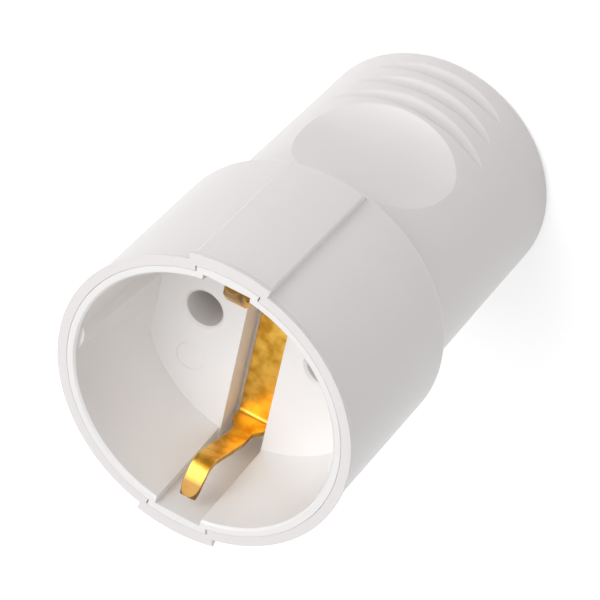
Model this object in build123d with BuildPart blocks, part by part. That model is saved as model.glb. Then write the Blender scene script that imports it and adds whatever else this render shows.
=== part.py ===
"""Rewirable in-line power socket with side earth springs, in millimetres.

The socket stands on the flat rear end of its handle, with the mouth of the well facing up (+Z).
The origin is the centre of the rear face. The two pin holes lie on the X axis, and the earth strap,
the raised keys and the finger grips lie on the Y axis.
"""

import os
from math import atan2, cos, degrees, hypot, radians, sin

from build123d import *

# Standard interface of the two-pole socket with side earth contacts
pin_spacing = 19.0
pin_hole_radius = 2.8
pin_hole_chamfer = 0.4
well_depth = 17.0
well_mouth_radius = 19.5
well_draft = 1.0

# Cover: collar, lip and the key pads on the collar
total_length = 68.5
collar_length = 29.1
collar_rim = 1.0
collar_back_wall = 1.9
collar_edge_round = 1.2
lip_overhang = 0.5
lip_length = 1.3
lip_edge = 0.25
key_half_angle = 15.0
key_height = 1.1
key_end_gap = 1.5
key_edge_round = 0.5
key_foot_round = 0.6
key_end_slope = 0.9

# Cover: handle
collar_step = 2.55
handle_draft = 0.25
tower_side_gap = 1.7
rear_wall = 3.5
rear_edge_round = 1.2

# Finger scoop in the handle, on both sides
scoop_start = 30.0
scoop_lowest = 44.5
scoop_end = 52.5
scoop_wall = 2.0

# Ripples behind the scoop
ripple_count = 3
ripple_first_crest = 52.4
ripple_pitch = 4.6
ripple_depth = 0.9
ripple_crest_rise = 0.12
ripple_spread = 36.0
ripple_lean = 18.0
ripple_sweep = 40.0

# Contact carrier: flange, well, floor and the channels of the earth fingers
seam_gap = 0.04
slide_gap = 0.1
flange_width = 0.9
flange_seat = 0.4
flange_thickness = 1.6
well_edge = 0.3
well_wall = 1.1
floor_thickness = 6.3
key_block_half_angle = 12.5
key_block_rise = 0.6
key_tab_rise = 0.8
key_side_gap = 0.5
channel_half_width = 3.5
channel_wall = 1.1
groove_half_width = 3.25
groove_depth = 4.3
guide_height = 1.9
guide_draft = 2.3
guide_floor_width = 5.6
guide_mouth_width = 1.2
guide_foot_width = 7.2
guide_start = 1.0
foot_slope_height = 4.3
witness_diameter = 4.3
witness_depth = 0.1

# Contact carrier: towers, post and screw bosses behind the floor
tower_radius = 5.5
tower_length = 12.7
tower_bore_radius = 4.25
tower_front_wall = 6.2
post_radius = 3.0
screw_boss_x = 10.0
screw_boss_radius = 3.0
screw_boss_length = 14.9

# Earth strap with its two spring fingers
strap_thickness = 0.8
strap_half_width = 2.5
strap_bend_place = 16.9
strap_bend_round = 1.0
finger_half_width = 1.45
finger_lean = (15.0, 17.1)
finger_nose = (5.2, 13.9)
finger_tip = (1.9, 18.2)
finger_nose_round = 2.2
finger_lean_round = 5.0
finger_shoulder = 18.6
finger_neck = 17.2
finger_tip_half_width = 1.35
finger_tip_round = 1.25

# Pin contacts
sleeve_radius = 3.4
sleeve_bore_radius = 2.45
sleeve_slot = 0.8
sleeve_slot_length = 9.0
sleeve_front_gap = 0.3
pin_length = 19.0
stop_radius = 4.4
stop_thickness = 1.6
barrel_radius = 3.5
barrel_length = 10.0
wire_hole_radius = 1.6
wire_hole_depth = 7.0
clip_front_gap = 2.1
clip_height = 3.6
clip_wall = 0.7
clip_opening = 1.6
clip_groove_depth = 0.2

# Screws
thread_gap = 0.05
driver_slot_width = 0.8
driver_slot_depth = 0.8
terminal_thread_radius = 1.5
terminal_head_radius = 2.4
terminal_head_height = 1.4
terminal_head_gap = 0.3
terminal_tip_gap = 0.6
terminal_screw_place = 6.5
screw_tip_slope = 0.3
screw_head_slope = 0.3
retainer_thread_radius = 1.25
retainer_head_radius = 2.4
retainer_head_height = 1.6
retainer_screw_length = 10.0
retainer_thickness = 1.6
retainer_half_width = 5.0
cover_thread_radius = 1.7
cover_head_radius = 3.0
cover_head_height = 2.2
cover_screw_length = 18.0
tube_radius = 4.4
tube_bore_radius = 3.3
tube_seat_thickness = 6.0
tube_end_gap = 0.1
tube_side_gap = 0.8
tube_wall_gap = 0.15

# Earth terminal behind the floor
earth_block_width = 6.0
earth_block_depth = 6.0
earth_block_height = 10.0
earth_head_gap = 0.55
earth_screw_place = 3.0
earth_wire_depth = 6.0
rivet_radius = 1.3
rivet_head_radius = 2.2
rivet_head_height = 0.6
rivet_hold = 3.0

# Cord clamp behind the cable inlet
inlet_radius = 5.5
inlet_round = 1.0
grommet_radius = 8.8
grommet_bore_radius = 4.6
grommet_height = 7.0
grommet_gap = 0.2
grommet_ring_wall = 1.9
grommet_ring_height = 5.8
clamp_plate_thickness = 2.0
clamp_plate_radius = 8.5
clamp_plate_bore_radius = 5.0
clamp_screw_place = 12.2
clamp_ear_radius = 2.9
clamp_boss_radius = 2.6
clamp_thread_radius = 1.25
clamp_head_radius = 2.4
clamp_head_height = 1.6
clamp_screw_length = 7.5
clamp_hole_gap = 0.3

# Places and sizes worked out from the values above
shoulder_z = total_length - collar_length
key_length = collar_length - key_end_gap
floor_z = total_length - well_depth
floor_back_z = floor_z - floor_thickness
groove_z = floor_z - groove_depth
flange_z = total_length - flange_thickness
well_floor_radius = well_mouth_radius - well_draft
flange_radius = well_mouth_radius + well_edge + flange_width
counterbore_radius = flange_radius + seam_gap
bore_radius = flange_radius - flange_seat
carrier_mouth_radius = bore_radius - slide_gap
carrier_floor_radius = well_floor_radius + well_wall
collar_radius = flange_radius + collar_rim
lip_radius = collar_radius + lip_overhang
key_top_radius = collar_radius + key_height
key_block_radius = flange_radius + key_block_rise
key_tab_radius = flange_radius + key_tab_rise
channel_radius = key_block_radius - channel_wall
guide_nose = well_floor_radius - guide_height
handle_front_radius = collar_radius - collar_step
handle_rear_radius = handle_front_radius - handle_draft
pin_x = pin_spacing / 2
handle_bore_radius = pin_x + tower_radius + tower_side_gap
screw_boss_y = barrel_radius + tube_radius + tube_side_gap
bore_half_height = screw_boss_y + tube_radius + tube_wall_gap
scoop_floor = bore_half_height + scoop_wall
cutter_reach = key_top_radius + 3.0
tower_end_z = floor_back_z - tower_length
tower_bore_z = floor_z - tower_front_wall
boss_end_z = floor_back_z - screw_boss_length
tube_end_z = boss_end_z - tube_end_gap
tube_seat_z = tube_end_z - tube_seat_thickness
retainer_z = tower_end_z - retainer_thickness
boss_angle = degrees(atan2(screw_boss_y, screw_boss_x))
clamp_angle = boss_angle - 90.0
terminal_head_reach = terminal_head_gap + terminal_head_height
earth_block_place = bore_half_height - earth_head_gap - terminal_head_reach - earth_block_depth / 2
grommet_ring_radius = grommet_radius + grommet_gap + grommet_ring_wall
clamp_plate_z = rear_wall + grommet_height


def depth(distance: float) -> float:
    """Height above the rear face of a point this far below the mouth."""
    return total_length - distance


def polar(radius: float, angle: float) -> tuple[float, float]:
    """X and Y of a point at this radius and angle about the axis."""
    return radius * cos(radians(angle)), radius * sin(radians(angle))


def radial_plane(angle: float) -> Plane:
    """Plane through the axis whose own X points outwards at this angle."""
    outwards = (cos(radians(angle)), sin(radians(angle)), 0)
    across = (sin(radians(angle)), -cos(radians(angle)), 0)
    return Plane(origin=(0, 0, 0), x_dir=outwards, z_dir=across)


def key_pair(points: list[tuple[float, float]], half_angle: float) -> Part:
    """Two wedges about the axis, one each way along Y, from a profile of radius and height."""
    with BuildPart() as wedge:
        with BuildSketch(radial_plane(90 - half_angle)):
            with BuildLine():
                Polyline(*points, close=True)
            make_face()
        revolve(axis=Axis.Z, revolution_arc=2 * half_angle)
    return wedge.part + wedge.part.rotate(Axis.Z, 180)


def turned(points: list[tuple[float, float]]) -> Part:
    """A turned shape about the axis, from a profile of radius and height."""
    with BuildPart() as shape:
        with BuildSketch(Plane.XZ):
            with BuildLine():
                Polyline(*points, close=True)
            make_face()
        revolve(axis=Axis.Z)
    return shape.part


def screw(thread_radius: float, length: float, head_radius: float, head_height: float) -> Part:
    """A slotted screw with its thread upwards and the underside of its head at height zero."""
    shape = turned(
        [
            (0, -head_height),
            (head_radius - screw_head_slope, -head_height),
            (head_radius, screw_head_slope - head_height),
            (head_radius, 0),
            (thread_radius, 0),
            (thread_radius, length - screw_tip_slope),
            (thread_radius - screw_tip_slope, length),
            (0, length),
        ]
    )
    slot = Pos(0, 0, -head_height) * Box(
        3 * head_radius, driver_slot_width, 2 * driver_slot_depth
    )
    return shape - slot


# Tools for the cover: the key pads, the pockets behind them, the scoops and the ripples
key_lips = key_pair(
    [
        (bore_radius, depth(lip_length)),
        (key_top_radius, depth(lip_length)),
        (key_top_radius + lip_overhang, depth(lip_edge)),
        (key_top_radius + lip_overhang, total_length),
        (bore_radius, total_length),
    ],
    key_half_angle,
)
pad_slope = turned(
    [
        (0, depth(key_length)),
        (key_top_radius - key_end_slope, depth(key_length)),
        (key_top_radius, depth(key_length - key_end_slope)),
        (key_top_radius, total_length),
        (0, total_length),
    ]
)
with BuildPart() as key_pads:
    with BuildSketch(Plane.XY.offset(depth(key_length))) as pad_outline:
        with BuildLine():
            right_corner = polar(cutter_reach, 90 - key_half_angle)
            left_corner = polar(cutter_reach, 90 + key_half_angle)
            Polyline((0, 0), right_corner, left_corner, close=True)
        make_face()
        Circle(key_top_radius, mode=Mode.INTERSECT)
        Circle(collar_radius)
        corners = pad_outline.vertices().filter_by(lambda corner: corner.Y > collar_radius / 2)
        fillet([corner for corner in corners if hypot(corner.X, corner.Y) > collar_radius + 0.01], key_edge_round)
        fillet([corner for corner in corners if hypot(corner.X, corner.Y) < collar_radius + 0.01], key_foot_round)
        Circle(bore_radius, mode=Mode.SUBTRACT)
        with Locations((0, key_top_radius)):
            Rectangle(key_top_radius, key_top_radius, mode=Mode.INTERSECT)
    extrude(amount=key_length)
    add(pad_slope, mode=Mode.INTERSECT)
    mirror(about=Plane.XZ)
    add(key_lips)
pocket_radius = key_block_radius + slide_gap
pocket_angle = key_block_half_angle + key_side_gap
key_pockets = key_pair(
    [
        (well_floor_radius, floor_back_z - slide_gap),
        (pocket_radius, floor_back_z - slide_gap),
        (pocket_radius, flange_z),
        (key_tab_radius + seam_gap, flange_z),
        (key_tab_radius + seam_gap, total_length),
        (well_floor_radius, total_length),
    ],
    pocket_angle,
)

with BuildPart() as scoops:
    with BuildSketch(Plane.YZ):
        with BuildLine():
            front = (-handle_front_radius, depth(scoop_start))
            lowest = (-scoop_floor, depth(scoop_lowest))
            back = (-handle_front_radius, depth(scoop_end))
            TangentArc(lowest, front, tangent=(0, 1))
            TangentArc(lowest, back, tangent=(0, -1))
            Polyline(front, (-cutter_reach, front[1]), (-cutter_reach, back[1]), back)
        make_face()
    extrude(amount=collar_radius, both=True)
    mirror(about=Plane.XZ)

# The ripples turn about a leaning axis behind the handle's own, so that they fade out sideways
ripple_surface = (handle_front_radius + handle_rear_radius) / 2
ripple_valley = ripple_surface - ripple_depth
fade_half_chord = ripple_surface * sin(radians(ripple_spread))
fade_rise = ripple_valley - ripple_surface * cos(radians(ripple_spread))
ripple_turn_radius = (fade_half_chord**2 + fade_rise**2) / (2 * fade_rise)
ripple_middle = depth(ripple_first_crest + ripple_count * ripple_pitch / 2)
ripple_axis = Axis(
    (0, ripple_turn_radius - ripple_valley, ripple_middle),
    (0, -sin(radians(ripple_lean)), cos(radians(ripple_lean))),
)
with BuildPart() as ripples:
    with BuildSketch(Plane.YZ) as wave:
        with BuildLine():
            crest_y = -ripple_surface - ripple_crest_rise
            valley_y = -ripple_valley
            middle_y = (crest_y + valley_y) / 2
            for number in range(ripple_count):
                crest_z = depth(ripple_first_crest + number * ripple_pitch)
                falling_z = crest_z - ripple_pitch / 4
                valley_z = crest_z - ripple_pitch / 2
                rising_z = crest_z - ripple_pitch * 3 / 4
                next_z = crest_z - ripple_pitch
                TangentArc((crest_y, crest_z), (middle_y, falling_z), tangent=(0, -1))
                TangentArc((valley_y, valley_z), (middle_y, falling_z), tangent=(0, 1))
                TangentArc((valley_y, valley_z), (middle_y, rising_z), tangent=(0, -1))
                TangentArc((crest_y, next_z), (middle_y, rising_z), tangent=(0, 1))
            first_z = depth(ripple_first_crest)
            last_z = depth(ripple_first_crest + ripple_count * ripple_pitch)
            Polyline((crest_y, first_z), (-cutter_reach, first_z), (-cutter_reach, last_z), (crest_y, last_z))
        make_face()
    turned_wave = wave.sketch.rotate(ripple_axis, -ripple_sweep)
    revolve(turned_wave, ripple_axis, 2 * ripple_sweep)
ripple_cut = ripples.part + ripples.part.rotate(Axis.Z, 180)

# Cover: one moulding with the collar in front and the handle behind
with BuildPart() as cover:
    with BuildSketch(Plane.XZ):
        with BuildLine():
            Polyline(
                (0, 0),
                (handle_rear_radius, 0),
                (handle_front_radius, shoulder_z),
                (collar_radius, shoulder_z),
                (collar_radius, depth(lip_length)),
                (lip_radius, depth(lip_edge)),
                (lip_radius, total_length),
                (0, total_length),
                close=True,
            )
        make_face()
    revolve(axis=Axis.Z)
    circles = cover.edges().filter_by(GeomType.CIRCLE)
    fillet(circles.group_by(Axis.Z)[0], rear_edge_round)
    shoulder_circles = circles.filter_by_position(Axis.Z, shoulder_z - 0.01, shoulder_z + 0.01)
    fillet(shoulder_circles.sort_by(SortBy.RADIUS)[-1], collar_edge_round)
    add(key_pads.part)
    add(scoops.part, mode=Mode.SUBTRACT)
    add(ripple_cut, mode=Mode.SUBTRACT)

    # Inside: seat of the flange, bore of the collar, key pockets and the space in the handle
    with BuildSketch(Plane.XY.offset(flange_z)):
        Circle(counterbore_radius)
    extrude(amount=flange_thickness, mode=Mode.SUBTRACT)
    with BuildSketch(Plane.XY.offset(shoulder_z + collar_back_wall)):
        Circle(bore_radius)
    extrude(amount=flange_z - shoulder_z - collar_back_wall, mode=Mode.SUBTRACT)
    add(key_pockets, mode=Mode.SUBTRACT)
    with BuildSketch(Plane.XY.offset(rear_wall)):
        Circle(handle_bore_radius)
        Rectangle(2 * handle_bore_radius, 2 * bore_half_height, mode=Mode.INTERSECT)
    extrude(amount=shoulder_z + collar_back_wall - rear_wall, mode=Mode.SUBTRACT)

    # Screw tubes, ring of the grommet and bosses of the clamp screws
    with BuildSketch(Plane.XY.offset(rear_wall)):
        with PolarLocations(hypot(screw_boss_x, screw_boss_y), 2, boss_angle):
            Circle(tube_radius)
    extrude(amount=tube_end_z - rear_wall)
    with BuildSketch(Plane.XY.offset(rear_wall)):
        Circle(grommet_ring_radius)
        with PolarLocations(clamp_screw_place, 2, clamp_angle):
            Circle(clamp_boss_radius)
    extrude(amount=grommet_ring_height)
    with BuildSketch(Plane.XY.offset(rear_wall)):
        Circle(grommet_radius + grommet_gap)
    extrude(amount=grommet_ring_height, mode=Mode.SUBTRACT)

    # Holes: clamp screws, cover screws and the cable inlet
    with BuildSketch(Plane.XY.offset(rear_wall + grommet_ring_height)):
        with PolarLocations(clamp_screw_place, 2, clamp_angle):
            Circle(clamp_thread_radius + thread_gap)
    extrude(amount=-grommet_ring_height, mode=Mode.SUBTRACT)
    with BuildSketch(Plane.XY):
        with PolarLocations(hypot(screw_boss_x, screw_boss_y), 2, boss_angle):
            Circle(tube_bore_radius)
    extrude(amount=tube_seat_z, mode=Mode.SUBTRACT)
    with BuildSketch(Plane.XY):
        with PolarLocations(hypot(screw_boss_x, screw_boss_y), 2, boss_angle):
            Circle(cover_thread_radius + thread_gap)
    extrude(amount=tube_end_z, mode=Mode.SUBTRACT)
    with BuildSketch(Plane.XY):
        Circle(inlet_radius)
    extrude(amount=rear_wall, mode=Mode.SUBTRACT)
    inlet_edge = cover.edges().filter_by(GeomType.CIRCLE).group_by(Axis.Z)[0].sort_by(SortBy.RADIUS)
    fillet([edge for edge in inlet_edge if abs(edge.radius - inlet_radius) < 0.01], inlet_round)

cover.part.label = "cover"

# Hollow of the well: a cone, flattened at the foot of the wall under the two guide ribs
with BuildPart() as well:
    with BuildSketch(Plane.XZ):
        with BuildLine():
            Polyline(
                (0, floor_z),
                (well_floor_radius, floor_z),
                (well_mouth_radius, depth(well_edge)),
                (well_mouth_radius + well_edge, total_length),
                (0, total_length),
                close=True,
            )
        make_face()
    revolve(axis=Axis.Z)
    with BuildSketch(Plane.XZ):
        with BuildLine():
            Polyline(
                (guide_nose, floor_z),
                (well_mouth_radius, floor_z),
                (well_mouth_radius, floor_z + foot_slope_height + 1.0),
                (well_floor_radius + well_draft / 2, floor_z + foot_slope_height),
                close=True,
            )
        make_face()
        mirror(about=Plane.YZ)
    extrude(amount=well_mouth_radius, both=True, mode=Mode.SUBTRACT)

# Guide ribs: wide at the floor and narrowing to a ridge near the mouth
with BuildPart() as guides:
    guide_outer = well_mouth_radius + well_edge
    with BuildSketch(Plane.XY.offset(floor_z)):
        with BuildLine():
            Polyline(
                (guide_nose, -guide_floor_width / 2),
                (guide_nose, guide_floor_width / 2),
                (guide_outer, guide_foot_width / 2),
                (guide_outer, -guide_foot_width / 2),
                close=True,
            )
        make_face()
    with BuildSketch(Plane.XY.offset(depth(guide_start))):
        with BuildLine():
            Polyline(
                (guide_nose + guide_draft, -guide_mouth_width / 2),
                (guide_nose + guide_draft, guide_mouth_width / 2),
                (guide_outer, guide_foot_width / 2),
                (guide_outer, -guide_foot_width / 2),
                close=True,
            )
        make_face()
    loft()
    mirror(about=Plane.YZ)

carrier_keys = key_pair(
    [
        (well_floor_radius, floor_back_z),
        (key_block_radius, floor_back_z),
        (key_block_radius, flange_z),
        (key_tab_radius, flange_z),
        (key_tab_radius, total_length),
        (well_floor_radius, total_length),
    ],
    key_block_half_angle,
)
well_hollow = well.part - guides.part

# Contact carrier: the insert with the well, the floor and everything behind it
with BuildPart() as contact_carrier:
    with BuildSketch(Plane.XZ):
        with BuildLine():
            Polyline(
                (0, floor_back_z),
                (carrier_floor_radius, floor_back_z),
                (carrier_mouth_radius, flange_z),
                (flange_radius, flange_z),
                (flange_radius, total_length),
                (0, total_length),
                close=True,
            )
        make_face()
    revolve(axis=Axis.Z)
    add(carrier_keys)
    add(well_hollow, mode=Mode.SUBTRACT)

    # Groove of the earth strap across the floor, and the channels up the wall
    with BuildSketch(Plane.XY.offset(groove_z)):
        Rectangle(2 * groove_half_width, 2 * channel_radius)
    extrude(amount=groove_depth, mode=Mode.SUBTRACT)
    with BuildSketch(Plane.XY.offset(floor_z)):
        Rectangle(2 * channel_half_width, 2 * channel_radius)
    extrude(amount=well_depth, mode=Mode.SUBTRACT)

    # Towers of the contacts, post of the retainer and bosses of the cover screws
    with BuildSketch(Plane.XY.offset(floor_back_z)):
        with Locations((pin_x, 0), (-pin_x, 0)):
            Circle(tower_radius)
        Circle(post_radius)
    extrude(amount=-tower_length)
    with BuildSketch(Plane.XY.offset(floor_back_z)):
        with PolarLocations(hypot(screw_boss_x, screw_boss_y), 2, boss_angle):
            Circle(screw_boss_radius)
    extrude(amount=-screw_boss_length)

    # Holes: contacts, pins, screws and the rivet, and the round marks on the floor
    with Locations((pin_x, 0, tower_end_z), (-pin_x, 0, tower_end_z)):
        Cylinder(
            tower_bore_radius,
            tower_bore_z - tower_end_z,
            align=(Align.CENTER, Align.CENTER, Align.MIN),
            mode=Mode.SUBTRACT,
        )
        Cylinder(
            stop_radius + thread_gap,
            stop_thickness,
            align=(Align.CENTER, Align.CENTER, Align.MIN),
            mode=Mode.SUBTRACT,
        )
    with Locations((pin_x, 0, floor_z), (-pin_x, 0, floor_z)):
        Hole(pin_hole_radius, tower_front_wall)
    floor_circles = contact_carrier.edges().filter_by(GeomType.CIRCLE).filter_by_position(
        Axis.Z, floor_z - 0.01, floor_z + 0.01
    )
    chamfer([edge for edge in floor_circles if abs(edge.radius - pin_hole_radius) < 0.01], pin_hole_chamfer)
    with BuildSketch(Plane.XY.offset(tower_end_z)):
        Circle(retainer_thread_radius + thread_gap)
    extrude(amount=retainer_screw_length, mode=Mode.SUBTRACT)
    with BuildSketch(Plane.XY.offset(boss_end_z)):
        with PolarLocations(hypot(screw_boss_x, screw_boss_y), 2, boss_angle):
            Circle(cover_thread_radius + thread_gap)
    extrude(amount=screw_boss_length - 2.0, mode=Mode.SUBTRACT)
    with BuildSketch(Plane.XY.offset(floor_back_z)):
        with Locations((0, -earth_block_place)):
            Circle(rivet_radius + thread_gap)
    extrude(amount=floor_thickness, mode=Mode.SUBTRACT)
    with BuildSketch(Plane.XY.offset(floor_z)):
        with PolarLocations(hypot(screw_boss_x, screw_boss_y), 2, boss_angle):
            Circle(witness_diameter / 2)
    extrude(amount=-witness_depth, mode=Mode.SUBTRACT)

contact_carrier.part.label = "contact_carrier"

# Earth strap: one folded strip with a narrowed, rounded spring finger at each end
with BuildPart() as earth_strap:
    strap_z = groove_z + strap_thickness / 2
    lean_point = (finger_lean[1], depth(finger_lean[0]))
    nose_point = (finger_nose[1], depth(finger_nose[0]))
    tip_point = (finger_tip[1], depth(finger_tip[0]))
    with BuildSketch(Plane.YZ):
        with BuildLine():
            FilletPolyline(
                (0, strap_z),
                (strap_bend_place, strap_z),
                lean_point,
                nose_point,
                tip_point,
                radius=(strap_bend_round, finger_lean_round, finger_nose_round),
            )
            mirror(about=Plane.YZ)
        trace(line_width=strap_thickness)
    extrude(amount=strap_half_width, both=True)
    finger_top = earth_strap.part.bounding_box().max.Z
    with BuildSketch(Plane.XZ) as outline:
        with BuildLine():
            Polyline(
                (-strap_half_width, groove_z),
                (-strap_half_width, depth(finger_shoulder)),
                (-finger_half_width, depth(finger_neck)),
                (-finger_tip_half_width, finger_top),
                (finger_tip_half_width, finger_top),
                (finger_half_width, depth(finger_neck)),
                (strap_half_width, depth(finger_shoulder)),
                (strap_half_width, groove_z),
                close=True,
            )
        make_face()
        fillet(outline.vertices().group_by(Axis.Y)[-1], finger_tip_round)
    extrude(amount=well_mouth_radius, both=True, mode=Mode.INTERSECT)
    with BuildSketch(Plane.XY.offset(groove_z)):
        with Locations((0, -earth_block_place)):
            Circle(rivet_radius + thread_gap)
    extrude(amount=strap_thickness, mode=Mode.SUBTRACT)

earth_strap.part.label = "earth_strap"

# Contacts: a turned sleeve for the pin, a stop flange and a barrel for the wire
sleeve_top_z = tower_bore_z - sleeve_front_gap
clip_top_z = sleeve_top_z - clip_front_gap
clip_bottom_z = clip_top_z - clip_height
groove_floor_radius = sleeve_radius - clip_groove_depth
barrel_end_z = tower_end_z - barrel_length
terminal_screw_z = tower_end_z - terminal_screw_place
contact_body = turned(
    [
        (0, barrel_end_z),
        (barrel_radius, barrel_end_z),
        (barrel_radius, tower_end_z),
        (stop_radius, tower_end_z),
        (stop_radius, tower_end_z + stop_thickness),
        (sleeve_radius, tower_end_z + stop_thickness),
        (sleeve_radius, clip_bottom_z),
        (groove_floor_radius, clip_bottom_z),
        (groove_floor_radius, clip_top_z),
        (sleeve_radius, clip_top_z),
        (sleeve_radius, sleeve_top_z),
        (sleeve_bore_radius, sleeve_top_z),
        (sleeve_bore_radius, floor_z - pin_length - sleeve_front_gap),
        (0, floor_z - pin_length - sleeve_front_gap),
    ]
)
clip_radius = groove_floor_radius + thread_gap
clip_body = turned(
    [
        (clip_radius, clip_bottom_z),
        (clip_radius + clip_wall, clip_bottom_z),
        (clip_radius + clip_wall, clip_top_z),
        (clip_radius, clip_top_z),
    ]
)
terminal_reach = barrel_radius + terminal_head_gap
terminal_screw = screw(
    terminal_thread_radius, terminal_reach - terminal_tip_gap, terminal_head_radius, terminal_head_height
)

with BuildPart() as line_contact:
    add(Pos(pin_x, 0, 0) * contact_body)
    with BuildSketch(Plane.XY.offset(sleeve_top_z)):
        with Locations((pin_x, 0)):
            Rectangle(sleeve_slot, 3 * sleeve_radius)
    extrude(amount=-sleeve_slot_length, mode=Mode.SUBTRACT)
    with BuildSketch(Plane.XY.offset(barrel_end_z)):
        with Locations((pin_x, 0)):
            Circle(wire_hole_radius)
    extrude(amount=wire_hole_depth, mode=Mode.SUBTRACT)
    with BuildSketch(Plane.XZ):
        with Locations((pin_x, terminal_screw_z)):
            Circle(terminal_thread_radius + thread_gap)
    extrude(amount=2 * barrel_radius, mode=Mode.SUBTRACT)

line_contact.part.label = "line_contact"

with BuildPart() as neutral_contact:
    add(line_contact.part.rotate(Axis.Z, 180))

neutral_contact.part.label = "neutral_contact"

# Spring clips: an open ring in the groove of each sleeve
with BuildPart() as line_spring_clip:
    add(Pos(pin_x, 0, 0) * clip_body)
    with BuildSketch(Plane.XY.offset(clip_bottom_z)):
        with Locations((pin_x, 0)):
            Rectangle(2 * (clip_radius + clip_wall), clip_opening, align=(Align.MIN, Align.CENTER))
    extrude(amount=clip_height, mode=Mode.SUBTRACT)

line_spring_clip.part.label = "line_spring_clip"

with BuildPart() as neutral_spring_clip:
    add(line_spring_clip.part.rotate(Axis.Z, 180))

neutral_spring_clip.part.label = "neutral_spring_clip"

# Terminal screws: each clamps a wire in the barrel of its contact
with BuildPart() as line_terminal_screw:
    add(Pos(pin_x, -terminal_reach, terminal_screw_z) * Rot(-90, 0, 0) * terminal_screw)

line_terminal_screw.part.label = "line_terminal_screw"

with BuildPart() as neutral_terminal_screw:
    add(line_terminal_screw.part.rotate(Axis.Z, 180))

neutral_terminal_screw.part.label = "neutral_terminal_screw"

# Contact retainer: a plate across both towers that holds the stop flanges in
with BuildPart() as contact_retainer:
    with BuildSketch(Plane.XY.offset(retainer_z)):
        SlotCenterToCenter(pin_spacing, 2 * retainer_half_width)
        with Locations((pin_x, 0), (-pin_x, 0)):
            Circle(barrel_radius + thread_gap, mode=Mode.SUBTRACT)
        Circle(retainer_thread_radius + thread_gap, mode=Mode.SUBTRACT)
    extrude(amount=retainer_thickness)

contact_retainer.part.label = "contact_retainer"

retainer_screw_body = screw(
    retainer_thread_radius, retainer_screw_length, retainer_head_radius, retainer_head_height
)
with BuildPart() as retainer_screw:
    add(Pos(0, 0, retainer_z) * retainer_screw_body)

retainer_screw.part.label = "retainer_screw"

# Earth terminal: a block behind the floor, riveted to the strap, with its own screw
earth_screw_z = floor_back_z - earth_block_height + earth_screw_place
with BuildPart() as earth_terminal:
    with BuildSketch(Plane.XY.offset(floor_back_z)):
        with Locations((0, -earth_block_place)):
            Rectangle(earth_block_width, earth_block_depth)
    extrude(amount=-earth_block_height)
    with BuildSketch(Plane.XY.offset(floor_back_z)):
        with Locations((0, -earth_block_place)):
            Circle(rivet_radius + thread_gap)
    extrude(amount=-rivet_hold, mode=Mode.SUBTRACT)
    with BuildSketch(Plane.XY.offset(floor_back_z - earth_block_height)):
        with Locations((0, -earth_block_place)):
            Circle(wire_hole_radius)
    extrude(amount=earth_wire_depth, mode=Mode.SUBTRACT)
    with BuildSketch(Plane.XZ.offset(earth_block_place)):
        with Locations((0, earth_screw_z)):
            Circle(terminal_thread_radius + thread_gap)
    extrude(amount=earth_block_depth, mode=Mode.SUBTRACT)

earth_terminal.part.label = "earth_terminal"

earth_reach = earth_block_depth / 2 + terminal_head_gap
earth_screw_body = screw(
    terminal_thread_radius, earth_reach - terminal_tip_gap, terminal_head_radius, terminal_head_height
)
with BuildPart() as earth_terminal_screw:
    add(Pos(0, -earth_block_place - earth_reach, earth_screw_z) * Rot(-90, 0, 0) * earth_screw_body)

earth_terminal_screw.part.label = "earth_terminal_screw"

strap_top_z = groove_z + strap_thickness
rivet_body = turned(
    [
        (0, floor_back_z - rivet_hold),
        (rivet_radius, floor_back_z - rivet_hold),
        (rivet_radius, strap_top_z),
        (rivet_head_radius, strap_top_z),
        (rivet_head_radius, strap_top_z + rivet_head_height / 2),
        (rivet_radius, strap_top_z + rivet_head_height),
        (0, strap_top_z + rivet_head_height),
    ]
)
with BuildPart() as earth_rivet:
    add(Pos(0, -earth_block_place, 0) * rivet_body)

earth_rivet.part.label = "earth_rivet"

# Cover screws: each runs through a tube of the cover into a boss of the carrier
cover_screw_body = screw(cover_thread_radius, cover_screw_length, cover_head_radius, cover_head_height)
with BuildPart() as cover_screw_right:
    add(Pos(screw_boss_x, screw_boss_y, tube_seat_z) * cover_screw_body)

cover_screw_right.part.label = "cover_screw_right"

with BuildPart() as cover_screw_left:
    add(cover_screw_right.part.rotate(Axis.Z, 180))

cover_screw_left.part.label = "cover_screw_left"

# Cord clamp: a rubber grommet in its ring, a pressure plate on it and two screws
with BuildPart() as cord_grommet:
    with BuildSketch(Plane.XY.offset(rear_wall)):
        Circle(grommet_radius)
        Circle(grommet_bore_radius, mode=Mode.SUBTRACT)
    extrude(amount=grommet_height)

cord_grommet.part.label = "cord_grommet"

with BuildPart() as clamp_plate:
    with BuildSketch(Plane.XY.offset(clamp_plate_z)):
        Circle(clamp_plate_radius)
        with Locations(Rot(0, 0, clamp_angle)):
            SlotCenterToCenter(2 * clamp_screw_place, 2 * clamp_ear_radius)
        Circle(clamp_plate_bore_radius, mode=Mode.SUBTRACT)
        with PolarLocations(clamp_screw_place, 2, clamp_angle):
            Circle(clamp_thread_radius + clamp_hole_gap, mode=Mode.SUBTRACT)
    extrude(amount=clamp_plate_thickness)

clamp_plate.part.label = "clamp_plate"

clamp_screw_x, clamp_screw_y = polar(clamp_screw_place, clamp_angle)
clamp_screw_body = screw(clamp_thread_radius, clamp_screw_length, clamp_head_radius, clamp_head_height)
with BuildPart() as clamp_screw_right:
    add(
        Pos(clamp_screw_x, clamp_screw_y, clamp_plate_z + clamp_plate_thickness)
        * Rot(180, 0, 0)
        * clamp_screw_body
    )

clamp_screw_right.part.label = "clamp_screw_right"

with BuildPart() as clamp_screw_left:
    add(clamp_screw_right.part.rotate(Axis.Z, 180))

clamp_screw_left.part.label = "clamp_screw_left"

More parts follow.
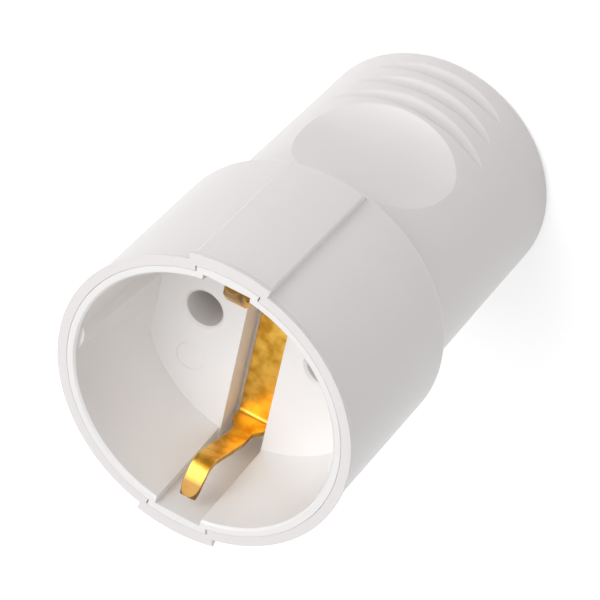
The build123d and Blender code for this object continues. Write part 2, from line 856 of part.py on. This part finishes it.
# Export
os.makedirs("parts", exist_ok=True)
export_step(cover.part, "parts/cover.step")
export_step(contact_carrier.part, "parts/contact_carrier.step")
export_step(earth_strap.part, "parts/earth_strap.step")
export_step(line_contact.part, "parts/line_contact.step")
export_step(neutral_contact.part, "parts/neutral_contact.step")
export_step(line_spring_clip.part, "parts/line_spring_clip.step")
export_step(neutral_spring_clip.part, "parts/neutral_spring_clip.step")
export_step(line_terminal_screw.part, "parts/line_terminal_screw.step")
export_step(neutral_terminal_screw.part, "parts/neutral_terminal_screw.step")
export_step(contact_retainer.part, "parts/contact_retainer.step")
export_step(retainer_screw.part, "parts/retainer_screw.step")
export_step(earth_terminal.part, "parts/earth_terminal.step")
export_step(earth_terminal_screw.part, "parts/earth_terminal_screw.step")
export_step(earth_rivet.part, "parts/earth_rivet.step")
export_step(cover_screw_right.part, "parts/cover_screw_right.step")
export_step(cover_screw_left.part, "parts/cover_screw_left.step")
export_step(cord_grommet.part, "parts/cord_grommet.step")
export_step(clamp_plate.part, "parts/clamp_plate.step")
export_step(clamp_screw_right.part, "parts/clamp_screw_right.step")
export_step(clamp_screw_left.part, "parts/clamp_screw_left.step")
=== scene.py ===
"""Dresses and lights the in-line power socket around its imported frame."""

import logging
from dataclasses import dataclass, field
from enum import Enum

import bmesh
import bpy
from mathutils import Matrix, Vector


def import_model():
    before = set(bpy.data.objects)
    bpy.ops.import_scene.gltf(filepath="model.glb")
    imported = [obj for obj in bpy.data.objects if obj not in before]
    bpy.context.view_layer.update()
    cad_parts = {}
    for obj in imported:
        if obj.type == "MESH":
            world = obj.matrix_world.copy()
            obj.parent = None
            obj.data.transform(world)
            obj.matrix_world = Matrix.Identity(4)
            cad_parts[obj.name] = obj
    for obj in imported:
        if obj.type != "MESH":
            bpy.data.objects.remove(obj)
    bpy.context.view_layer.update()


LOG = logging.getLogger("power_socket")
MILLIMETRE = 0.001

Colour = tuple[float, float, float]
Place = tuple[float, float, float]


class Node(Enum):
    """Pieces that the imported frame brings."""

    COVER = "cover"
    CARRIER = "contact_carrier"
    STRAP = "earth_strap"
    LINE_CONTACT = "line_contact"
    NEUTRAL_CONTACT = "neutral_contact"
    LINE_CLIP = "line_spring_clip"
    NEUTRAL_CLIP = "neutral_spring_clip"
    LINE_SCREW = "line_terminal_screw"
    NEUTRAL_SCREW = "neutral_terminal_screw"
    RETAINER = "contact_retainer"
    RETAINER_SCREW = "retainer_screw"
    EARTH_TERMINAL = "earth_terminal"
    EARTH_SCREW = "earth_terminal_screw"
    EARTH_RIVET = "earth_rivet"
    COVER_SCREW_RIGHT = "cover_screw_right"
    COVER_SCREW_LEFT = "cover_screw_left"
    GROMMET = "cord_grommet"
    CLAMP_PLATE = "clamp_plate"
    CLAMP_SCREW_RIGHT = "clamp_screw_right"
    CLAMP_SCREW_LEFT = "clamp_screw_left"


class Socket(Enum):
    """Kinds of value that a shader group takes or gives."""

    NUMBER = "NodeSocketFloat"
    COLOUR = "NodeSocketColor"
    VECTOR = "NodeSocketVector"


def millimetres(*values: float) -> Vector:
    """Turns a place in millimetres into metres.

    Args:
        values: Three distances in millimetres.

    Returns:
        The place in metres.
    """
    return Vector(values) * MILLIMETRE


class ShaderGroups:
    """Builds each shared surface effect once and hands it to the finishes.

    A match is how far the rounded normal agrees with the flat one, where 1 is the same way.
    """

    edge_samples: int = 8
    flat_match: float = 0.985
    edge_match: float = 0.85
    grain_detail: float = 2.0
    cloud_scale: float = 90.0
    cloud_detail: float = 3.0
    line_detail: float = 4.0
    patch_detail: float = 2.0
    patch_start: float = 0.36
    patch_end: float = 0.7

    def __init__(self) -> None:
        """Builds every group."""
        self.edge = self._edge_rounding_and_highlight()
        self.grain = self._moulded_grain()
        self.lines = self._rolled_lines()
        self.tarnish = self._tarnish()

    def _group(
        self, name: str, inputs: dict[str, Socket], outputs: dict[str, Socket]
    ) -> tuple[bpy.types.NodeTree, bpy.types.Node, bpy.types.Node]:
        """Makes an empty shader group with its sockets.

        Args:
            name: Name of the group.
            inputs: Name and kind of each input.
            outputs: Name and kind of each output.

        Returns:
            The group, its input node and its output node.
        """
        group = bpy.data.node_groups.new(name, "ShaderNodeTree")
        for label, kind in inputs.items():
            group.interface.new_socket(label, in_out="INPUT", socket_type=kind.value)
        for label, kind in outputs.items():
            group.interface.new_socket(label, in_out="OUTPUT", socket_type=kind.value)
        start = group.nodes.new("NodeGroupInput")
        end = group.nodes.new("NodeGroupOutput")
        return group, start, end

    def _edge_rounding_and_highlight(self) -> bpy.types.NodeTree:
        """Builds the group that rounds edges in the normal and marks where they are, so that a lighter
        colour can be painted there as a highlight.

        Returns:
            The finished group.
        """
        group, start, end = self._group(
            "edge_rounding_and_highlight",
            {"Radius": Socket.NUMBER},
            {"Normal": Socket.VECTOR, "EdgeHighlight": Socket.NUMBER},
        )
        rounded = group.nodes.new("ShaderNodeBevel")
        rounded.samples = self.edge_samples
        surface = group.nodes.new("ShaderNodeNewGeometry")
        match = group.nodes.new("ShaderNodeVectorMath")
        match.operation = "DOT_PRODUCT"
        mask = group.nodes.new("ShaderNodeMapRange")
        mask.inputs["From Min"].default_value = self.flat_match
        mask.inputs["From Max"].default_value = self.edge_match
        group.links.new(start.outputs["Radius"], rounded.inputs["Radius"])
        group.links.new(rounded.outputs["Normal"], match.inputs[0])
        group.links.new(surface.outputs["Normal"], match.inputs[1])
        group.links.new(match.outputs["Value"], mask.inputs["Value"])
        group.links.new(rounded.outputs["Normal"], end.inputs["Normal"])
        group.links.new(mask.outputs["Result"], end.inputs["EdgeHighlight"])
        return group

    def _moulded_grain(self) -> bpy.types.NodeTree:
        """Builds the group for the fine grain and uneven gloss of a moulding.

        Returns:
            The finished group.
        """
        group, start, end = self._group(
            "moulded_grain",
            {"Scale": Socket.NUMBER, "Smooth": Socket.NUMBER, "Rough": Socket.NUMBER},
            {"Height": Socket.NUMBER, "Roughness": Socket.NUMBER, "Tone": Socket.NUMBER},
        )
        place = group.nodes.new("ShaderNodeTexCoord")
        fine = group.nodes.new("ShaderNodeTexNoise")
        fine.inputs["Detail"].default_value = self.grain_detail
        cloud = group.nodes.new("ShaderNodeTexNoise")
        cloud.inputs["Scale"].default_value = self.cloud_scale
        cloud.inputs["Detail"].default_value = self.cloud_detail
        gloss = group.nodes.new("ShaderNodeMapRange")
        group.links.new(place.outputs["Object"], fine.inputs["Vector"])
        group.links.new(place.outputs["Object"], cloud.inputs["Vector"])
        group.links.new(start.outputs["Scale"], fine.inputs["Scale"])
        group.links.new(cloud.outputs["Fac"], gloss.inputs["Value"])
        group.links.new(start.outputs["Smooth"], gloss.inputs["To Min"])
        group.links.new(start.outputs["Rough"], gloss.inputs["To Max"])
        group.links.new(fine.outputs["Fac"], end.inputs["Height"])
        group.links.new(gloss.outputs["Result"], end.inputs["Roughness"])
        group.links.new(cloud.outputs["Fac"], end.inputs["Tone"])
        return group

    def _rolled_lines(self) -> bpy.types.NodeTree:
        """Builds the group for the long fine lines of rolled or turned metal.

        Returns:
            The finished group.
        """
        group, start, end = self._group(
            "rolled_lines",
            {"Stretch": Socket.VECTOR, "Smooth": Socket.NUMBER, "Rough": Socket.NUMBER},
            {"Height": Socket.NUMBER, "Roughness": Socket.NUMBER},
        )
        place = group.nodes.new("ShaderNodeTexCoord")
        stretch = group.nodes.new("ShaderNodeMapping")
        lines = group.nodes.new("ShaderNodeTexNoise")
        lines.inputs["Scale"].default_value = 1.0
        lines.inputs["Detail"].default_value = self.line_detail
        gloss = group.nodes.new("ShaderNodeMapRange")
        group.links.new(place.outputs["Object"], stretch.inputs["Vector"])
        group.links.new(start.outputs["Stretch"], stretch.inputs["Scale"])
        group.links.new(stretch.outputs["Vector"], lines.inputs["Vector"])
        group.links.new(lines.outputs["Fac"], gloss.inputs["Value"])
        group.links.new(start.outputs["Smooth"], gloss.inputs["To Min"])
        group.links.new(start.outputs["Rough"], gloss.inputs["To Max"])
        group.links.new(lines.outputs["Fac"], end.inputs["Height"])
        group.links.new(gloss.outputs["Result"], end.inputs["Roughness"])
        return group

    def _tarnish(self) -> bpy.types.NodeTree:
        """Builds the group for the cloudy patches that handling leaves on metal.

        Returns:
            The finished group.
        """
        group, start, end = self._group(
            "tarnish",
            {"Scale": Socket.NUMBER},
            {"Patch": Socket.NUMBER},
        )
        place = group.nodes.new("ShaderNodeTexCoord")
        cloud = group.nodes.new("ShaderNodeTexNoise")
        cloud.inputs["Detail"].default_value = self.patch_detail
        patch = group.nodes.new("ShaderNodeMapRange")
        patch.interpolation_type = "SMOOTHSTEP"
        patch.inputs["From Min"].default_value = self.patch_start
        patch.inputs["From Max"].default_value = self.patch_end
        group.links.new(place.outputs["Object"], cloud.inputs["Vector"])
        group.links.new(start.outputs["Scale"], cloud.inputs["Scale"])
        group.links.new(cloud.outputs["Fac"], patch.inputs["Value"])
        group.links.new(patch.outputs["Result"], end.inputs["Patch"])
        return group


class Recipe:
    """A material in the making: its nodes, its links and its shader."""

    def __init__(self, name: str) -> None:
        """Starts a material with one Principled shader.

        Args:
            name: Name of the material.
        """
        self.material = bpy.data.materials.new(name)
        self.material.use_nodes = True
        self.tree = self.material.node_tree
        self.shader = self.tree.nodes["Principled BSDF"]

    def add(self, kind: str) -> bpy.types.Node:
        """Adds a node of this kind."""
        return self.tree.nodes.new(kind)

    def add_group(self, group: bpy.types.NodeTree, **values: object) -> bpy.types.Node:
        """Places a shared effect with its own values.

        Args:
            group: The shader group.
            values: Value of each input by name.

        Returns:
            The group's node.
        """
        node = self.add("ShaderNodeGroup")
        node.node_tree = group
        for label, value in values.items():
            node.inputs[label].default_value = value
        return node

    def join(self, source: bpy.types.NodeSocket, target: bpy.types.NodeSocket) -> None:
        """Links one socket to another."""
        self.tree.links.new(source, target)

    def blend(
        self, mask: bpy.types.NodeSocket, first: Colour | bpy.types.NodeSocket, second: Colour
    ) -> bpy.types.NodeSocket:
        """Blends a colour into another where a mask is 1.

        Args:
            mask: Where the second colour shows.
            first: Colour, or a socket that gives one, where the mask is 0.
            second: Colour where the mask is 1.

        Returns:
            The socket that gives the blended colour.
        """
        mix = self.add("ShaderNodeMix")
        mix.data_type = "RGBA"
        if isinstance(first, bpy.types.NodeSocket):
            self.join(first, mix.inputs["A"])
        else:
            mix.inputs["A"].default_value = (*first, 1.0)
        mix.inputs["B"].default_value = (*second, 1.0)
        self.join(mask, mix.inputs["Factor"])
        return mix.outputs["Result"]

    def height_mask(self, low: float, high: float, most: float) -> bpy.types.NodeSocket:
        """Rises from 0 between two heights of the object.

        Args:
            low: Height in metres up to which the mask is 0.
            high: Height in metres from which it is at its most.
            most: The most that the mask rises to.

        Returns:
            The socket that gives the mask.
        """
        place = self.add("ShaderNodeTexCoord")
        parts = self.add("ShaderNodeSeparateXYZ")
        mask = self.add("ShaderNodeMapRange")
        mask.inputs["From Min"].default_value = low
        mask.inputs["From Max"].default_value = high
        mask.inputs["To Max"].default_value = most
        self.join(place.outputs["Object"], parts.inputs["Vector"])
        self.join(parts.outputs["Z"], mask.inputs["Value"])
        return mask.outputs["Result"]

    def at_least(
        self, value: bpy.types.NodeSocket, mask: bpy.types.NodeSocket, least: float
    ) -> bpy.types.NodeSocket:
        """Raises a value to a least one where a mask is 1.

        Args:
            value: The value to raise.
            mask: Where it is raised.
            least: The least value there.

        Returns:
            The socket that gives the raised value.
        """
        masked = self.add("ShaderNodeMath")
        masked.operation = "MULTIPLY"
        masked.inputs[1].default_value = least
        self.join(mask, masked.inputs[0])
        larger = self.add("ShaderNodeMath")
        larger.operation = "MAXIMUM"
        self.join(value, larger.inputs[0])
        self.join(masked.outputs["Value"], larger.inputs[1])
        return larger.outputs["Value"]

    def relief(self, height: bpy.types.NodeSocket, depth: float, normal: bpy.types.NodeSocket) -> None:
        """Gives the shader a bump on top of its rounded edges.

        Args:
            height: Height over the surface.
            depth: Real depth of the bump in metres.
            normal: Normal to start from.
        """
        bump = self.add("ShaderNodeBump")
        bump.inputs["Strength"].default_value = 1.0
        bump.inputs["Distance"].default_value = depth
        self.join(height, bump.inputs["Height"])
        self.join(normal, bump.inputs["Normal"])
        self.join(bump.outputs["Normal"], self.shader.inputs["Normal"])


@dataclass(frozen=True)
class MouldedFinish:
    """Moulded plastic or rubber with a fine grain, slightly uneven gloss and a highlight painted along its
    edges.
    """

    name: str
    colour: Colour
    shade: Colour
    # Lighter colour painted along the edges as a highlight.
    edge_highlight_colour: Colour
    smooth: float
    rough: float
    grain_scale: float = 9000.0
    grain_depth: float = 0.000002
    edge_radius: float = 0.00015
    refraction: float = 1.5

    def make(self, groups: ShaderGroups) -> bpy.types.Material:
        """Builds the material.

        Args:
            groups: The shared surface effects.

        Returns:
            The finished material.
        """
        recipe = Recipe(self.name)
        grain = recipe.add_group(groups.grain, Scale=self.grain_scale, Smooth=self.smooth, Rough=self.rough)
        edge = recipe.add_group(groups.edge, Radius=self.edge_radius)
        tone = recipe.blend(grain.outputs["Tone"], self.colour, self.shade)
        # Painted highlight: the lighter edge colour is laid along the edges that the mask finds.
        tone = recipe.blend(edge.outputs["EdgeHighlight"], tone, self.edge_highlight_colour)
        recipe.join(tone, recipe.shader.inputs["Base Color"])
        recipe.join(grain.outputs["Roughness"], recipe.shader.inputs["Roughness"])
        recipe.relief(grain.outputs["Height"], self.grain_depth, edge.outputs["Normal"])
        recipe.shader.inputs["IOR"].default_value = self.refraction
        return recipe.material


@dataclass(frozen=True)
class MetalFinish:
    """Rolled or turned metal with fine lines one way, a little tarnish and a highlight painted along its
    edges.

    A painted shade turns the metal dark brown above the tip shade heights, at the ends of the strap's
    fingers, and the roughness rises there.
    """

    name: str
    colour: Colour
    tarnish: Colour
    # Lighter colour painted along the edges as a highlight.
    edge_highlight_colour: Colour
    smooth: float
    rough: float
    stretch: Place = (2500.0, 160.0, 2500.0)
    line_depth: float = 0.0000015
    patch_scale: float = 600.0
    edge_radius: float = 0.00015
    # Dark brown painted over the finger ends as shade.
    tip_shade: Colour | None = None
    tip_shade_heights: tuple[float, float] = (0.0647, 0.0657)
    tip_shade_rough: float = 0.5
    tip_shade_share: float = 0.9

    def make(self, groups: ShaderGroups) -> bpy.types.Material:
        """Builds the material.

        Args:
            groups: The shared surface effects.

        Returns:
            The finished material.
        """
        recipe = Recipe(self.name)
        lines = recipe.add_group(groups.lines, Stretch=self.stretch, Smooth=self.smooth, Rough=self.rough)
        edge = recipe.add_group(groups.edge, Radius=self.edge_radius)
        patches = recipe.add_group(groups.tarnish, Scale=self.patch_scale)
        tone = recipe.blend(patches.outputs["Patch"], self.colour, self.tarnish)
        # Painted highlight: the lighter edge colour is laid along the edges that the mask finds.
        tone = recipe.blend(edge.outputs["EdgeHighlight"], tone, self.edge_highlight_colour)
        roughness = lines.outputs["Roughness"]
        # Painted shade: above the given heights the colour turns dark brown and the roughness rises.
        if self.tip_shade is not None:
            mask = recipe.height_mask(*self.tip_shade_heights, self.tip_shade_share)
            tone = recipe.blend(mask, tone, self.tip_shade)
            roughness = recipe.at_least(roughness, mask, self.tip_shade_rough)
        recipe.join(tone, recipe.shader.inputs["Base Color"])
        recipe.join(roughness, recipe.shader.inputs["Roughness"])
        recipe.relief(lines.outputs["Height"], self.line_depth, edge.outputs["Normal"])
        recipe.shader.inputs["Metallic"].default_value = 1.0
        return recipe.material


# The third colour of each finish is its painted edge highlight.
COVER_PLASTIC = MouldedFinish(
    "cover_plastic", (0.84, 0.805, 0.80), (0.82, 0.785, 0.78), (0.86, 0.835, 0.83), 0.29, 0.36
)
CARRIER_PLASTIC = MouldedFinish(
    "carrier_plastic", (0.9, 0.885, 0.88), (0.88, 0.865, 0.86), (0.92, 0.905, 0.9), 0.29, 0.36
)
INNER_PLASTIC = MouldedFinish(
    "inner_plastic", (0.66, 0.64, 0.58), (0.62, 0.60, 0.54), (0.7, 0.68, 0.62), 0.45, 0.6
)
GROMMET_RUBBER = MouldedFinish(
    "grommet_rubber", (0.02, 0.02, 0.02), (0.03, 0.03, 0.03), (0.035, 0.035, 0.035), 0.6, 0.75, 4000.0
)
STRAP_BRASS = MetalFinish(
    "strap_brass",
    (0.88, 0.55, 0.1),
    (0.56, 0.27, 0.025),
    (0.9, 0.64, 0.24),
    0.3,
    0.45,
    patch_scale=420.0,
    # Painted shade at the ends of the strap's fingers.
    tip_shade=(0.24, 0.13, 0.045),
)
CONTACT_BRASS = MetalFinish(
    "contact_brass", (0.88, 0.58, 0.16), (0.74, 0.44, 0.1), (0.93, 0.68, 0.26), 0.29, 0.4
)
SPRING_STEEL = MetalFinish(
    "spring_steel", (0.42, 0.42, 0.44), (0.34, 0.34, 0.36), (0.52, 0.52, 0.54), 0.3, 0.42
)
ZINC_STEEL = MetalFinish(
    "zinc_steel", (0.62, 0.63, 0.65), (0.52, 0.53, 0.56), (0.72, 0.73, 0.75), 0.29, 0.4
)


@dataclass
class Dresser:
    """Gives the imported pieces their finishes."""

    groups: ShaderGroups
    made: dict[str, bpy.types.Material] = field(default_factory=dict)

    def dress(self, node: Node, finish: MouldedFinish | MetalFinish) -> None:
        """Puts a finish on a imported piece.

        Args:
            node: The piece.
            finish: What it is made of.
        """
        if finish.name not in self.made:
            self.made[finish.name] = finish.make(self.groups)
        item = bpy.data.objects[node.value]
        item.data.materials.clear()
        item.data.materials.append(self.made[finish.name])
        LOG.info("%s is finished in %s", node.value, finish.name)


@dataclass
class Housing:
    """The cover and the carrier that sits in its mouth."""

    dresser: Dresser

    def build(self) -> None:
        """Dresses the two mouldings."""
        self.dresser.dress(Node.COVER, COVER_PLASTIC)
        self.dresser.dress(Node.CARRIER, CARRIER_PLASTIC)


@dataclass
class EarthPath:
    """The strap with its fingers, and the terminal riveted to it."""

    dresser: Dresser

    def build(self) -> None:
        """Dresses the strap, the rivet, the terminal and its screw."""
        self.dresser.dress(Node.STRAP, STRAP_BRASS)
        self.dresser.dress(Node.EARTH_RIVET, CONTACT_BRASS)
        self.dresser.dress(Node.EARTH_TERMINAL, CONTACT_BRASS)
        self.dresser.dress(Node.EARTH_SCREW, ZINC_STEEL)


@dataclass
class PinContacts:
    """The two contacts behind the pin holes and what holds them."""

    dresser: Dresser

    def build(self) -> None:
        """Dresses the contacts, clips, terminal screws and the retainer."""
        for node in (Node.LINE_CONTACT, Node.NEUTRAL_CONTACT):
            self.dresser.dress(node, CONTACT_BRASS)
        for node in (Node.LINE_CLIP, Node.NEUTRAL_CLIP):
            self.dresser.dress(node, SPRING_STEEL)
        for node in (Node.LINE_SCREW, Node.NEUTRAL_SCREW, Node.RETAINER_SCREW):
            self.dresser.dress(node, ZINC_STEEL)
        self.dresser.dress(Node.RETAINER, INNER_PLASTIC)


@dataclass
class RearEnd:
    """The cover screws and the cord clamp, seen through the holes in the rear."""

    dresser: Dresser

    def build(self) -> None:
        """Dresses the screws, the grommet and the clamp plate."""
        screws = (
            Node.COVER_SCREW_RIGHT,
            Node.COVER_SCREW_LEFT,
            Node.CLAMP_SCREW_RIGHT,
            Node.CLAMP_SCREW_LEFT,
        )
        for node in screws:
            self.dresser.dress(node, ZINC_STEEL)
        self.dresser.dress(Node.GROMMET, GROMMET_RUBBER)
        self.dresser.dress(Node.CLAMP_PLATE, INNER_PLASTIC)


@dataclass(frozen=True)
class Lamp:
    """A square soft lamp that faces the socket, in millimetres and watts."""

    name: str
    place: Place
    size: float
    power: float


LAMPS = (
    Lamp("key_lamp", (260.0, -420.0, 420.0), 450.0, 0.9),
    Lamp("well_lamp", (217.0, -155.0, 604.0), 650.0, 2.55),
    Lamp("side_lamp", (-434.0, -186.0, 448.0), 500.0, 0.62),
    Lamp("back_lamp", (-150.0, 600.0, 260.0), 400.0, 0.6),
)
AMBIENT = 0.27


@dataclass
class Studio:
    """Pale floor, soft lamps, world and the camera."""

    lamps: tuple[Lamp, ...]
    ambient: float
    camera_place: Place = (-119.1, -272.0, 361.55)
    camera_right: Place = (-0.8619, -0.1808, -0.4738)
    camera_up: Place = (0.4274, -0.7618, -0.4868)
    camera_back: Place = (-0.2729, -0.6220, 0.7339)
    lens: float = 190.27
    target: Place = (0.0, 0.0, 45.0)
    sensor: float = 36.0
    nearest: float = 0.01
    farthest: float = 20.0
    floor_radius: float = 3.0
    floor_segments: int = 96
    floor_colour: Colour = (0.8, 0.8, 0.8)
    floor_rough: float = 0.9
    floor_gloss: float = 0.1
    near_glow: float = 0.5
    far_glow: float = 0.85
    near_reach: float = 0.2
    far_reach: float = 1.0

    def build(self) -> None:
        """Sets up the floor, the lamps, the world and the camera."""
        self._floor()
        for lamp in self.lamps:
            self._hang(lamp)
        self._world()
        self._camera()

    def _floor(self) -> None:
        """Lays a round pale floor under the socket."""
        shape = bmesh.new()
        bmesh.ops.create_circle(
            shape, cap_ends=True, segments=self.floor_segments, radius=self.floor_radius
        )
        mesh = bpy.data.meshes.new("floor")
        shape.to_mesh(mesh)
        shape.free()
        mesh.materials.append(self._floor_finish())
        floor = bpy.data.objects.new("floor", mesh)
        bpy.context.collection.objects.link(floor)

    def _floor_finish(self) -> bpy.types.Material:
        """Builds the floor's white, which glows for the camera and is clear from below.

        Returns:
            The finished material.
        """
        recipe = Recipe("floor_white")
        recipe.shader.inputs["Base Color"].default_value = (*self.floor_colour, 1.0)
        recipe.shader.inputs["Roughness"].default_value = self.floor_rough
        recipe.shader.inputs["Specular IOR Level"].default_value = self.floor_gloss
        seen = self._seen(recipe.tree)
        place = recipe.add("ShaderNodeTexCoord")
        reach = recipe.add("ShaderNodeVectorMath")
        reach.operation = "LENGTH"
        recipe.join(place.outputs["Object"], reach.inputs[0])
        far = recipe.add("ShaderNodeMapRange")
        far.inputs["From Min"].default_value = self.near_reach
        far.inputs["From Max"].default_value = self.far_reach
        far.inputs["To Min"].default_value = self.near_glow
        far.inputs["To Max"].default_value = self.far_glow
        recipe.join(reach.outputs["Value"], far.inputs["Value"])
        glow = recipe.add("ShaderNodeMath")
        glow.operation = "MULTIPLY"
        recipe.join(seen, glow.inputs[0])
        recipe.join(far.outputs["Result"], glow.inputs[1])
        recipe.shader.inputs["Emission Color"].default_value = (1.0, 1.0, 1.0, 1.0)
        recipe.join(glow.outputs["Value"], recipe.shader.inputs["Emission Strength"])
        side = recipe.add("ShaderNodeNewGeometry")
        clear = recipe.add("ShaderNodeBsdfTransparent")
        either = recipe.add("ShaderNodeMixShader")
        recipe.join(side.outputs["Backfacing"], either.inputs["Fac"])
        recipe.join(recipe.shader.outputs["BSDF"], either.inputs[1])
        recipe.join(clear.outputs["BSDF"], either.inputs[2])
        recipe.join(either.outputs["Shader"], recipe.tree.nodes["Material Output"].inputs["Surface"])
        return recipe.material

    def _seen(self, tree: bpy.types.NodeTree) -> bpy.types.NodeSocket:
        """Tells rays from the camera and from gloss apart from the light's own.

        Args:
            tree: Nodes of the floor or the world.

        Returns:
            The socket that is 1 for those rays and 0 for the others.
        """
        path = tree.nodes.new("ShaderNodeLightPath")
        seen = tree.nodes.new("ShaderNodeMath")
        seen.operation = "MAXIMUM"
        tree.links.new(path.outputs["Is Camera Ray"], seen.inputs[0])
        tree.links.new(path.outputs["Is Glossy Ray"], seen.inputs[1])
        return seen.outputs["Value"]

    def _hang(self, lamp: Lamp) -> None:
        """Hangs a lamp and turns it to the socket.

        Args:
            lamp: The lamp to hang.
        """
        data = bpy.data.lights.new(lamp.name, "AREA")
        data.size = lamp.size * MILLIMETRE
        data.energy = lamp.power
        item = bpy.data.objects.new(lamp.name, data)
        bpy.context.collection.objects.link(item)
        item.location = millimetres(*lamp.place)
        away = item.location - millimetres(*self.target)
        item.rotation_euler = away.to_track_quat("Z", "Y").to_euler()

    def _world(self) -> None:
        """Gives an even ambient light and a white surround."""
        world = bpy.data.worlds.new("studio")
        world.use_nodes = True
        bpy.context.scene.world = world
        tree = world.node_tree
        surround = tree.nodes["Background"]
        surround.inputs["Color"].default_value = (1.0, 1.0, 1.0, 1.0)
        strength = tree.nodes.new("ShaderNodeMapRange")
        strength.inputs["To Min"].default_value = self.ambient
        strength.inputs["To Max"].default_value = 1.0
        tree.links.new(self._seen(tree), strength.inputs["Value"])
        tree.links.new(strength.outputs["Result"], surround.inputs["Strength"])

    def _camera(self) -> None:
        """Puts the camera where the photograph was taken from."""
        data = bpy.data.cameras.new("camera")
        data.lens = self.lens
        data.sensor_width = self.sensor
        data.clip_start = self.nearest
        data.clip_end = self.farthest
        camera = bpy.data.objects.new("camera", data)
        bpy.context.collection.objects.link(camera)
        turn = Matrix((self.camera_right, self.camera_up, self.camera_back)).transposed().to_4x4()
        camera.matrix_world = Matrix.Translation(millimetres(*self.camera_place)) @ turn
        bpy.context.scene.camera = camera


def main() -> None:
    """Builds the dressed socket and its studio in order."""
    logging.basicConfig(level=logging.INFO)
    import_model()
    bpy.context.scene.view_settings.view_transform = "Standard"
    dresser = Dresser(ShaderGroups())
    for assembly in (Housing(dresser), EarthPath(dresser), PinContacts(dresser), RearEnd(dresser)):
        assembly.build()
        LOG.info("%s is done", type(assembly).__name__)
    Studio(LAMPS, AMBIENT).build()


if __name__ == "__main__":
    main()
